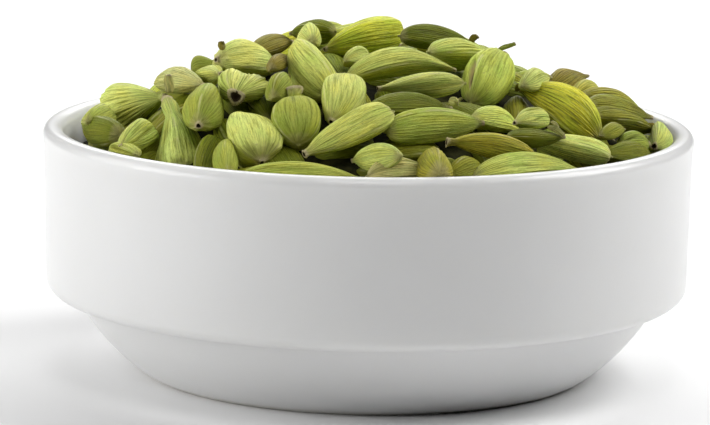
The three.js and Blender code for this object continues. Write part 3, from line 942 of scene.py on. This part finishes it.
def wall_limit(z):
    """How far from the axis a pod may reach at a height, beside the lip's inner rounding."""
    up = np.clip(z - (RIM_HEIGHT - LIP), 0, LIP)
    limit = INNER_RADIUS + LIP - np.sqrt(LIP**2 - up**2) - GLAZE_GAP
    return np.where(z > RIM_HEIGHT, NO_WALL, limit)


def across_axis(axis):
    """Two ways square to a pod's axis, the first as upright in the picture as it can be."""
    view_up = np.array([0, math.sin(SIGHT_TILT), math.cos(SIGHT_TILT)])
    up = view_up - axis * (view_up @ axis)
    if np.linalg.norm(up) < END_ON:
        up = np.array([1, 0, 0]) - axis * axis[0]
    up /= np.linalg.norm(up)
    return up, np.cross(axis, up)


def lay(pod, look, fineness, number):
    """A copy of a kind's blank with its own form, laid along the pod's axis."""
    kind, colour, stub_end, bulge, turn_deg = look
    blank = blank_of(kind, fineness)
    rng = np.random.default_rng(POD_SEED + number)
    s, turn = blank["s"], blank["turn"]
    form, marks, open_share = husk_form(blank, kind, number, rng)
    start = np.array(pod["ends"][stub_end])
    axis = np.array(pod["ends"][1 - stub_end]) - start
    length = np.linalg.norm(axis)
    axis /= length
    up, side = across_axis(axis)
    angle = turn + math.radians(turn_deg) + rng.uniform(-TWIST, TWIST) * (s - 0.5)
    squash = SQUASHED.get(number, 0) * np.clip((s - STUB_LENGTH) / SQUASH_FADE, 0, 1)
    reach = blank["r"] * pod["girth"] / 2 * form * (1 + squash * np.cos(2 * angle))
    arch = bulge * (4 * s * (1 - s) - ARCH_LEVEL) + rng.uniform(-WARP, WARP) * np.sin(5 * s)
    sway = rng.uniform(-SWAY, SWAY) * np.sin(math.pi * s * 1.5)
    co = start + np.outer(length * s, axis)
    co += np.outer(reach * np.cos(angle) + arch, up)
    co += np.outer(reach * np.sin(angle) + sway, side)
    out = np.hypot(co[:, 0], co[:, 1])
    co[:, :2] *= np.minimum(1, wall_limit(co[:, 2]) / np.maximum(out, 1))[:, None]
    tone = linear(COLOURS[colour]) * rng.uniform(*LIGHTNESS) * rng.uniform(*TINT, 3)
    dry = np.full_like(s, DRYNESS.get(colour, LEAST_DRY))
    lengthwise = s * length / GRAIN_LENGTH + number * GRAIN_STEP
    return {
        "co": co * MM,
        "corners": blank["corners"],
        "totals": blank["totals"],
        "grain": np.stack([np.cos(turn), np.sin(turn), lengthwise], axis=1),
        # The pod's tone, and as alpha the painted shade of its folds.
        "husk": np.column_stack([np.tile(tone, (len(s), 1)), open_share]),
        # Painted shade in the rib grooves, dryness, and the marks of the stub, its hollow and a
        # slit.
        "groove_shade_dryness_stub": np.stack([blank["groove_shade"], dry, marks], axis=1),
        "along": s,
    }


# %% Joining pods into pieces
def join(name, copies):
    """One mesh from many copies, with what the husk's material reads."""
    mesh = bpy.data.meshes.new(name)
    starts = np.cumsum([0] + [len(c["co"]) for c in copies])
    corners = np.concatenate([c["corners"] + n for c, n in zip(copies, starts)])
    totals = np.concatenate([c["totals"] for c in copies])
    mesh.vertices.add(int(starts[-1]))
    mesh.loops.add(len(corners))
    mesh.polygons.add(len(totals))
    mesh.vertices.foreach_set("co", np.concatenate([c["co"] for c in copies]).ravel())
    mesh.loops.foreach_set("vertex_index", corners)
    mesh.polygons.foreach_set("loop_start", np.cumsum(totals) - totals)
    mesh.polygons.foreach_set("use_smooth", np.ones(len(totals), dtype=bool))
    mesh.update(calc_edges=True)
    mesh.validate()
    for key, kind, field in (
        ("grain", "FLOAT_VECTOR", "vector"),
        ("husk", "FLOAT_COLOR", "color"),
        ("groove_shade_dryness_stub", "FLOAT_VECTOR", "vector"),
        ("along", "FLOAT", "value"),
    ):
        values = np.concatenate([c[key] for c in copies]).ravel()
        mesh.attributes.new(key, kind, "POINT").data.foreach_set(field, values)
    piece = bpy.data.objects.new(name, mesh)
    bpy.context.scene.collection.objects.link(piece)
    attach(piece, "root")
    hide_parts("cardamom_pods")
    print(name + ":", len(copies), "pods,", int((totals - 2).sum()), "triangles")
    return piece


# %% All the pods
# How often each kind and each colour is drawn.
STREWN_KINDS = {
    "ribbed": 0.28, "lean": 0.30, "plump": 0.12, "blunt": 0.16, "necked": 0.06,
    "shrivelled": 0.08,
}
STREWN_COLOURS = {
    "green": 0.2, "bright": 0.36, "yellowish": 0.08, "pale": 0.22, "olive": 0.10,
    "brown": 0.02, "golden": 0.02,
}
# Buried pods get only darker colours: painted shade for pods deep in the heap.
BURIED_SHADE_COLOURS = ("olive", "deep", "deep")
LOOK_SEED = 500
MOST_BULGE = 0.8
FIRST_BURIED = 300


def strewn_look(number):
    """A kind, a colour, a stub's end, a bulge and a turn, by a seeded draw."""
    rng = np.random.default_rng(LOOK_SEED + number)
    kind = str(rng.choice(list(STREWN_KINDS), p=list(STREWN_KINDS.values())))
    colour = str(rng.choice(list(STREWN_COLOURS), p=list(STREWN_COLOURS.values())))
    return kind, colour, int(rng.integers(2)), rng.uniform(0, MOST_BULGE), rng.uniform(0, 360)


laid = {}
for number, pod in enumerate(seen):
    placed = number < len(PLACED)
    look = PLACED[number][6:] if placed else strewn_look(number)
    side = "front" if placed else "back"
    laid.setdefault(side + "_" + look[0], []).append(lay(pod, look, side, number))
for number, pod in enumerate(buried, FIRST_BURIED):
    kind, _, *rest = strewn_look(number)
    look = (kind, BURIED_SHADE_COLOURS[number % len(BURIED_SHADE_COLOURS)], *rest)
    laid.setdefault("buried", []).append(lay(pod, look, "buried", number))
pod_pieces = [join(name + "_pods", copies) for name, copies in laid.items()]

# %% [markdown]
# ## Stalks and dry ends
#
# Some pods still have a bit of stalk, and some end in a dry twist of husk. Each is laid like a
# very small pod, at the depth of the end of the pod that it belongs to.

# %% Stalks
# Each row: the pod it belongs to, across and up of both ends, girth and colour.
STALKS = (
    (35, 23.6, 14.2, 27.0, 15.7, 0.9, "green"),
    (35, 17.3, 5.4, 15.4, 3.8, 0.7, "tan"),
    (33, 18.4, 15.7, 20.0, 17.0, 1.3, "brown"),
    (14, -27.4, 13.6, -27.6, 15.2, 1.3, "brown"),
    (5, -37.2, 5.4, -37.2, 8.8, 1.9, "tan"),
    (52, 33.3, 0.5, 36.3, -1.3, 1.2, "tan"),
    (52, 33.8, 1.3, 35.2, 0.2, 0.7, "tan"),
    (26, 12.0, -6.0, 13.4, -7.4, 1.3, "tan"),
    (29, 14.8, 4.8, 16.6, 4.6, 1.6, "tan"),
    (50, 27.0, 7.0, 28.8, 8.0, 1.2, "brown"),
    (45, 51.6, 1.2, 53.2, 0.2, 1.3, "brown"),
)
STALK_AHEAD = 0.6
STALK_BULGE = 0.2
STALK_TURN = 40
FIRST_STALK = 200
twigs = []
for number, (parent, *row, colour) in enumerate(STALKS):
    twig = placed_pod([*row, None])
    root = min(seen[parent]["ends"], key=lambda end: abs(end[0] - row[0]))
    twig["ends"] = [on_line(line, root[1] - row[4] / 2 - STALK_AHEAD) for line in twig["lines"]]
    look = ("twig", colour, 1, STALK_BULGE, STALK_TURN * number)
    twigs.append(lay(twig, look, "back", FIRST_STALK + number))
pod_pieces.append(join("stalks", twigs))

# %% [markdown]
# ## The heap's core
#
# What lies deeper than the buried pods is never seen as pods, only as darkness with a hint
# of husk. One closed shape fills the bowl up to there. It is grown like the bowl and then
# roughened with a displacement. Its near-black colour is painted shade, for the shade deep in
# the heap.

# %% Core
CORE_DEPTH = 7.4
CORE_GAP = 0.4
CORE_SIDES = 96
CORE_RINGS = 22
CORE_RELIEF = 1.6
LUMP_SIZE = 4


def core_outline():
    shell = [(r - CORE_GAP, z + CORE_GAP) for r, z in lining_curve()[::-1]]
    radii = [(INNER_RADIUS - CORE_GAP) * (1 - i / CORE_RINGS) for i in range(CORE_RINGS)]
    top = [(r, mound_height(r, 0) - CORE_DEPTH) for r in radii]
    return shell + between(shell[-1], top[0], WALL_PARTS) + top


core = grow("heap_core", core_outline(), CORE_SIDES, MM)
lumps = bpy.data.textures.new("core lumps", "CLOUDS")
lumps.noise_scale = LUMP_SIZE * MM
roughen = core.modifiers.new("roughen", "DISPLACE")
roughen.texture = lumps
roughen.texture_coords = "LOCAL"
roughen.direction = "Z"
roughen.strength = CORE_RELIEF * MM
roughen.mid_level = 1.0
bpy.ops.object.modifier_apply(modifier=roughen.name)
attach(core, "root")
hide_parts("cardamom_pods")
print("core:", len(core.data.polygons), "faces")

# %% [markdown]
# ## Glaze
#
# Porcelain glaze is a clear glass over a white body: a smooth coat over a slightly rougher
# base. Light sinks a few millimetres into the body, which brightens the wall's shaded side.
# The foot ring is wiped clean before firing, so it is bare and dull.

# %% Helpers for materials
def new_material(name):
    material = bpy.data.materials.new(name)
    material.use_nodes = True
    tree = material.node_tree
    return material, tree, tree.nodes["Principled BSDF"]


def feed(tree, node, inputs):
    """Gives a node its inputs, as numbers or as links."""
    for key, value in inputs.items():
        if isinstance(value, bpy.types.NodeSocket):
            tree.links.new(value, node.inputs[key])
        else:
            node.inputs[key].default_value = value


def add(tree, kind, inputs=None, **settings):
    """A new node with its settings and inputs."""
    made = tree.nodes.new("ShaderNode" + kind)
    for key, value in settings.items():
        setattr(made, key, value)
    feed(tree, made, inputs or {})
    return made


def mix(tree, factor, a, b, blend="MIX"):
    sockets = {"Factor": factor, "A": a, "B": b}
    made = add(tree, "Mix", sockets, data_type="RGBA", blend_type=blend)
    return made.outputs["Result"]


def stretched(tree, grain, across, lengthwise):
    sockets = {0: grain, 1: (across, across, lengthwise)}
    return add(tree, "VectorMath", sockets, operation="MULTIPLY").outputs["Vector"]


def band(tree, value, low, high, to_low=0.0, to_high=1.0):
    sockets = {"Value": value, "From Min": low, "From Max": high}
    sockets.update({"To Min": to_low, "To Max": to_high})
    return add(tree, "MapRange", sockets).outputs["Result"]


def noise(tree, vector, scale, detail=3.0, roughness=0.5):
    sockets = {"Vector": vector, "Scale": scale, "Detail": detail, "Roughness": roughness}
    return add(tree, "TexNoise", sockets).outputs["Fac"]


def times(tree, a, b, operation="MULTIPLY"):
    return add(tree, "Math", {0: a, 1: b}, operation=operation).outputs["Value"]


def relief(tree, height, strength, distance):
    sockets = {"Height": height, "Strength": strength, "Distance": distance}
    return add(tree, "Bump", sockets).outputs["Normal"]


# %% Glaze material
GLAZE_DARKER = (0.72, 0.72, 0.713, 1)
GLAZE_LIGHTER = (0.75, 0.75, 0.745, 1)
BARE_BODY = (0.66, 0.64, 0.6, 1)
BARE_BELOW, GLAZED_ABOVE = 0.5 * MM, 1.1 * MM
GLAZE_ROUGHNESS, BARE_ROUGHNESS = 0.3, 0.75


def glaze_material():
    material, tree, shader = new_material("white glaze")
    place = add(tree, "TexCoord").outputs["Object"]
    cloud = band(tree, noise(tree, place, 28.0), 0.3, 0.7)
    height = add(tree, "SeparateXYZ", {"Vector": place}).outputs["Z"]
    bare = band(tree, height, GLAZED_ABOVE, BARE_BELOW)
    ripple = noise(tree, place, 90.0, 2.0)
    feed(tree, shader, {
        "Base Color": mix(tree, bare, mix(tree, cloud, GLAZE_DARKER, GLAZE_LIGHTER), BARE_BODY),
        "Roughness": band(tree, bare, 0.0, 1.0, GLAZE_ROUGHNESS, BARE_ROUGHNESS),
        "Normal": relief(tree, ripple, 0.04, 0.4 * MM),
        "Subsurface Weight": 0.5,
        "Subsurface Radius": (1.0, 0.97, 0.9),
        "Subsurface Scale": 4 * MM,
        "Coat Weight": 0.12,
        "Coat Roughness": 0.06,
    })
    return material


bowl.data.materials.append(glaze_material())
print("glaze on:", bowl.name)

# %% [markdown]
# ## Husk
#
# The husk is dry paper with fine fibres along the pod. Its colour changes from pod to pod
# and towards the ends, which are straw-coloured and brown. From crest to groove and in the
# folds it darkens, and the stub's hollow and a burst pod's slit are near black: this is
# painted shade. All of it follows the pod's own grain, which the points carry, so that it
# bends with each pod.

# %% Patterns on the husk
# Noise on a pod's grain: how fine it is round the pod and along it, its detail and roughness.
GRAIN_NOISES = {
    "fibre": (12.0, 0.8, 3.0, 0.65),
    "fine": (30.0, 6.0, 2.0, 0.6),
    "patch": (1.2, 0.7, 2.0, 0.5),
    "scatter": (3.0, 1.4, 2.0, 0.5),
}
RIDGES = 3.0
WAVERING = 0.25


def husk_patterns(tree):
    """What the husk's colour follows, by name: noise, or what the points carry."""
    points = {
        name: add(tree, "Attribute", attribute_name=name).outputs
        for name in ("grain", "husk", "along", "groove_shade_dryness_stub")
    }
    grain = points["grain"]["Vector"]
    along = points["along"]["Fac"]
    marks = add(tree, "SeparateXYZ", {"Vector": points["groove_shade_dryness_stub"]["Vector"]}).outputs
    place = add(tree, "TexCoord").outputs["Object"]
    found = {
        name: noise(tree, stretched(tree, grain, across, length), 1.0, detail, rough)
        for name, (across, length, detail, rough) in GRAIN_NOISES.items()
    }
    found.update({"tone": points["husk"]["Color"], "furrow_shade": points["husk"]["Alpha"]})
    found["stub"] = marks["Z"]
    found["speck"] = noise(tree, place, 1500.0, 2.0)

    split = add(tree, "SeparateXYZ", {"Vector": grain}).outputs
    turn = times(tree, split["Y"], split["X"], "ARCTAN2")
    turn = times(tree, turn, times(tree, found["patch"], WAVERING), "ADD")
    # Painted shade in the rib grooves, as strong as the ribs are deep, fading in patches.
    rib_wave = times(tree, times(tree, turn, float(RIBS)), 0.0, "COSINE")
    fade = band(tree, found["scatter"], 0.38, 0.6, 0.25, 1.0)
    ribbed = times(tree, band(tree, rib_wave, -0.1, -0.9), marks["X"])
    found["groove"] = times(tree, ribbed, fade)
    ridge_wave = times(tree, times(tree, turn, RIDGES), 0.0, "COSINE")
    seen_here = band(tree, found["scatter"], 0.4, 0.6, 0.0, 0.55)
    found["seam"] = times(tree, band(tree, ridge_wave, 0.975, 1.0), seen_here)

    cloud = noise(tree, place, 230.0, 3.0, 0.6)
    brown = times(tree, marks["Y"], band(tree, cloud, 0.35, 0.65, 0.2, 1.0))
    found["brown"] = times(tree, brown, band(tree, found["fibre"], 0.56, 0.40, 0.15, 1.0))
    near_stub, near_tip = band(tree, along, 0.13, 0.02), band(tree, along, 0.92, 0.99)
    ends = times(tree, near_stub, near_tip, "MAXIMUM")
    found["end"] = times(tree, ends, band(tree, found["fine"], 0.35, 0.6, 0.3, 1.0))
    return found


# %% Husk material
# What covers the husk's own tone, one over the other: the pattern that it follows, where on
# the pattern it begins and is full, how strong it is there, how it blends, and its colour.
HUSK_LAYERS = (
    ("patch", 0.45, 0.70, 1.0, "MULTIPLY", (1.10, 1.02, 0.80, 1)),
    ("patch", 0.50, 0.30, 1.0, "MULTIPLY", (0.88, 0.96, 0.80, 1)),
    # Painted shade in the folds.
    ("furrow_shade", 1.0, 0.3, 1.0, "MULTIPLY", (0.45, 0.45, 0.25, 1)),
    # Painted shade in the rib grooves.
    ("groove", 0.0, 1.0, 1.0, "MULTIPLY", (0.30, 0.32, 0.15, 1)),
    ("fibre", 0.50, 0.36, 0.8, "MULTIPLY", (0.50, 0.52, 0.28, 1)),
    ("fine", 0.50, 0.35, 1.0, "MULTIPLY", (0.78, 0.78, 0.66, 1)),
    ("fibre", 0.55, 0.68, 1.0, "MULTIPLY", (1.20, 1.15, 1.25, 1)),
    ("seam", 0.0, 1.0, 1.0, "MIX", (0.72, 0.70, 0.36, 1)),
    ("brown", 0.0, 1.0, 1.0, "MIX", (0.22, 0.18, 0.04, 1)),
    ("end", 0.0, 1.0, 0.7, "MIX", (0.68, 0.60, 0.28, 1)),
    ("stub", 0.3, 1.0, 0.85, "MIX", (0.78, 0.66, 0.40, 1)),
    ("speck", 0.66, 0.74, 0.35, "MIX", (0.30, 0.26, 0.09, 1)),
    # Painted shade: the stub's hollow and a burst pod's slit are near black.
    ("stub", 1.2, 1.7, 1.0, "MIX", (0.05, 0.03, 0.012, 1)),
)


def husk_material():
    material, tree, shader = new_material("cardamom husk")
    found = husk_patterns(tree)
    colour = found["tone"]
    for name, low, high, most, blend, tint in HUSK_LAYERS:
        colour = mix(tree, band(tree, found[name], low, high, 0.0, most), colour, tint, blend)
    fibre = found["fibre"]
    height = times(tree, times(tree, fibre, 0.6), times(tree, found["fine"], 0.3), "ADD")
    height = times(tree, height, times(tree, found["groove"], 0.3), "SUBTRACT")
    feed(tree, shader, {
        "Base Color": colour,
        "Roughness": band(tree, fibre, 0.3, 0.7, 0.62, 0.48),
        "Normal": relief(tree, height, 0.9, 0.6 * MM),
        "Specular IOR Level": 0.22,
    })
    return material


def core_material():
    material, tree, shader = new_material("painted shade deep in the heap")
    cloud = noise(tree, add(tree, "TexCoord").outputs["Object"], 260.0, 4.0, 0.6)
    # Near black all over: painted shade deep in the heap.
    dark, light = (0.008, 0.008, 0.003, 1), (0.05, 0.05, 0.012, 1)
    feed(tree, shader, {
        "Base Color": mix(tree, band(tree, cloud, 0.4, 0.7), dark, light),
        "Roughness": 0.9,
        "Normal": relief(tree, cloud, 0.6, 1 * MM),
        "Specular IOR Level": 0.1,
    })
    return material


husk = husk_material()
for piece in pod_pieces:
    piece.data.materials.append(husk)
core.data.materials.append(core_material())
print("husk on:", len(pod_pieces), "pieces and the core")

# %% [markdown]
# ## Camera
#
# A long lens from three quarters of a metre away, a little above the rim, as in the
# photograph. The bowl is slightly right of the frame's middle and its horizon dips a little
# to the right.

# %% Camera
LENS = 204.94
SENSOR = 36
AIM_ACROSS = -2.2
AIM_UP = 5.05
ROLL = 0.0167
CLIP = (0.01, 20)

eye = Vector(EYE)
target = Vector((0, 0, SIGHT_HEIGHT))
view = (target - eye).normalized()
flat_right = Vector((1, 0, 0))
flat_up = flat_right.cross(view)
right = flat_right * math.cos(ROLL) + flat_up * math.sin(ROLL)
upward = flat_up * math.cos(ROLL) - flat_right * math.sin(ROLL)
forward = (target + right * AIM_ACROSS + upward * AIM_UP - eye).normalized()
right = forward.cross(upward).normalized()
upward = right.cross(forward)
turned = Matrix((right, upward, -forward)).transposed()

camera_data = bpy.data.cameras.new("camera")
camera_data.lens = LENS
camera_data.sensor_width = SENSOR
camera_data.clip_start, camera_data.clip_end = CLIP
camera = bpy.data.objects.new("camera", camera_data)
bpy.context.scene.collection.objects.link(camera)
camera.matrix_world = Matrix.Translation(eye * MM) @ turned.to_4x4()
bpy.context.scene.camera = camera
print("camera:", [round(c, 1) for c in eye], "mm")

# %% [markdown]
# ## Floor and light
#
# Soft lights stand at the left, the left front, the upper left and the right, a large one at
# the back, and a weak one hangs high in front. A first power for each came from renders with
# that light alone, and was then changed. The sides of the glaze are bright and its middle is
# greyer, and the gaps between the pods are dark. The white floor sends light up.

# %% Floor and light
FLOOR_SIZE = 8
FLOOR_COLOUR = (0.92, 0.92, 0.92, 1)
FLOOR_ROUGHNESS = 0.9
LIT_POINT = (0, 0, 0.03)
# Each row: name, place, width and power.
SOFTBOXES = (
    ("left", (-0.9, 0.12, 0.3), 0.5, 1.8),
    ("left front", (-0.87, -0.3, 0.3), 0.5, 3.9),
    ("upper left", (-0.7, 0.12, 0.7), 0.6, 1.5),
    ("right", (0.7, 0.12, 0.7), 0.6, 7.8),
    ("back", (0.0, 0.9, 0.7), 0.8, 6.4),
    ("front", (0.0, -0.55, 1.1), 0.5, 2.8),
)
WORLD_LIGHT = 0.0

select_nothing()
bpy.ops.mesh.primitive_plane_add(size=FLOOR_SIZE, location=(0, 0, 0))
floor = bpy.context.object
floor.name = "floor"
floor_material, floor_tree, floor_shader = new_material("pale floor")
feed(floor_tree, floor_shader, {"Base Color": FLOOR_COLOUR, "Roughness": FLOOR_ROUGHNESS})
floor.data.materials.append(floor_material)

for name, place, width, power in SOFTBOXES:
    lamp = bpy.data.lights.new(name + " light", "AREA")
    lamp.shape = "SQUARE"
    lamp.size = width
    lamp.energy = power
    holder = bpy.data.objects.new(name + " light", lamp)
    bpy.context.scene.collection.objects.link(holder)
    holder.location = place
    aim = Vector(LIT_POINT) - Vector(place)
    holder.rotation_euler = aim.to_track_quat("-Z", "Y").to_euler()

world = bpy.data.worlds.new("soft room")
world.use_nodes = True
sky = world.node_tree.nodes["Background"]
feed(world.node_tree, sky, {"Color": (1, 1, 1, 1), "Strength": WORLD_LIGHT})
bpy.context.scene.world = world
bpy.context.scene.view_settings.view_transform = "Standard"
print("lights:", len(SOFTBOXES))
